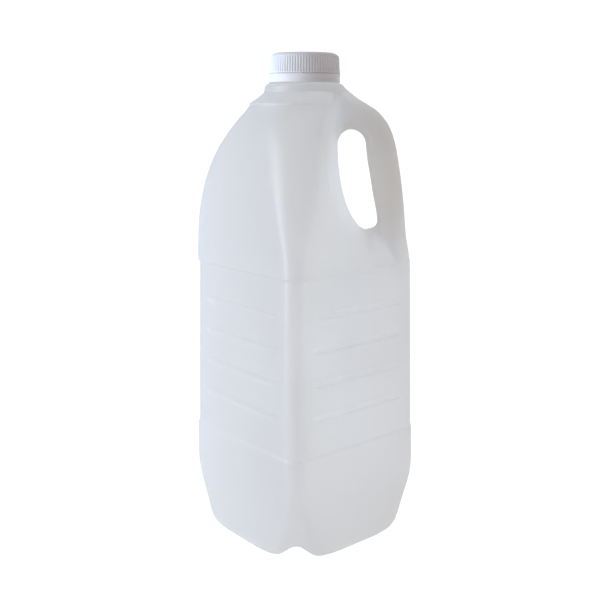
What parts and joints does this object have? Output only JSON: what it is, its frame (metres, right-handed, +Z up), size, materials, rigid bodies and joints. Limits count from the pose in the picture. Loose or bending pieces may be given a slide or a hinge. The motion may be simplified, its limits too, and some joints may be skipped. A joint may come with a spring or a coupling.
{
  "type": "plastic dairy bottle with corner handle and screw cap",
  "caption": "Tall square milk bottle of natural translucent plastic, hollow corner handle, grooved label panels, fluted base corners and white ribbed tamper-evident screw cap.",
  "frame": {"origin": "centre of the base, on the surface that the bottle stands on", "axes": "+Z up along the neck axis; the handle is on the +X corner, and the XZ plane is the parting plane of the two mirrored halves"},
  "size_m": [0.1306, 0.1306, 0.2808],
  "materials": {
    "bottle": "natural translucent blown plastic with a soft waxy sheen",
    "cap": "opaque white moulded plastic, satin"
  },
  "bodies": {
    "root": {"bottle": "bottle", "screw_cap": "cap", "tamper_band": "cap"}
  },
  "joints": []
}
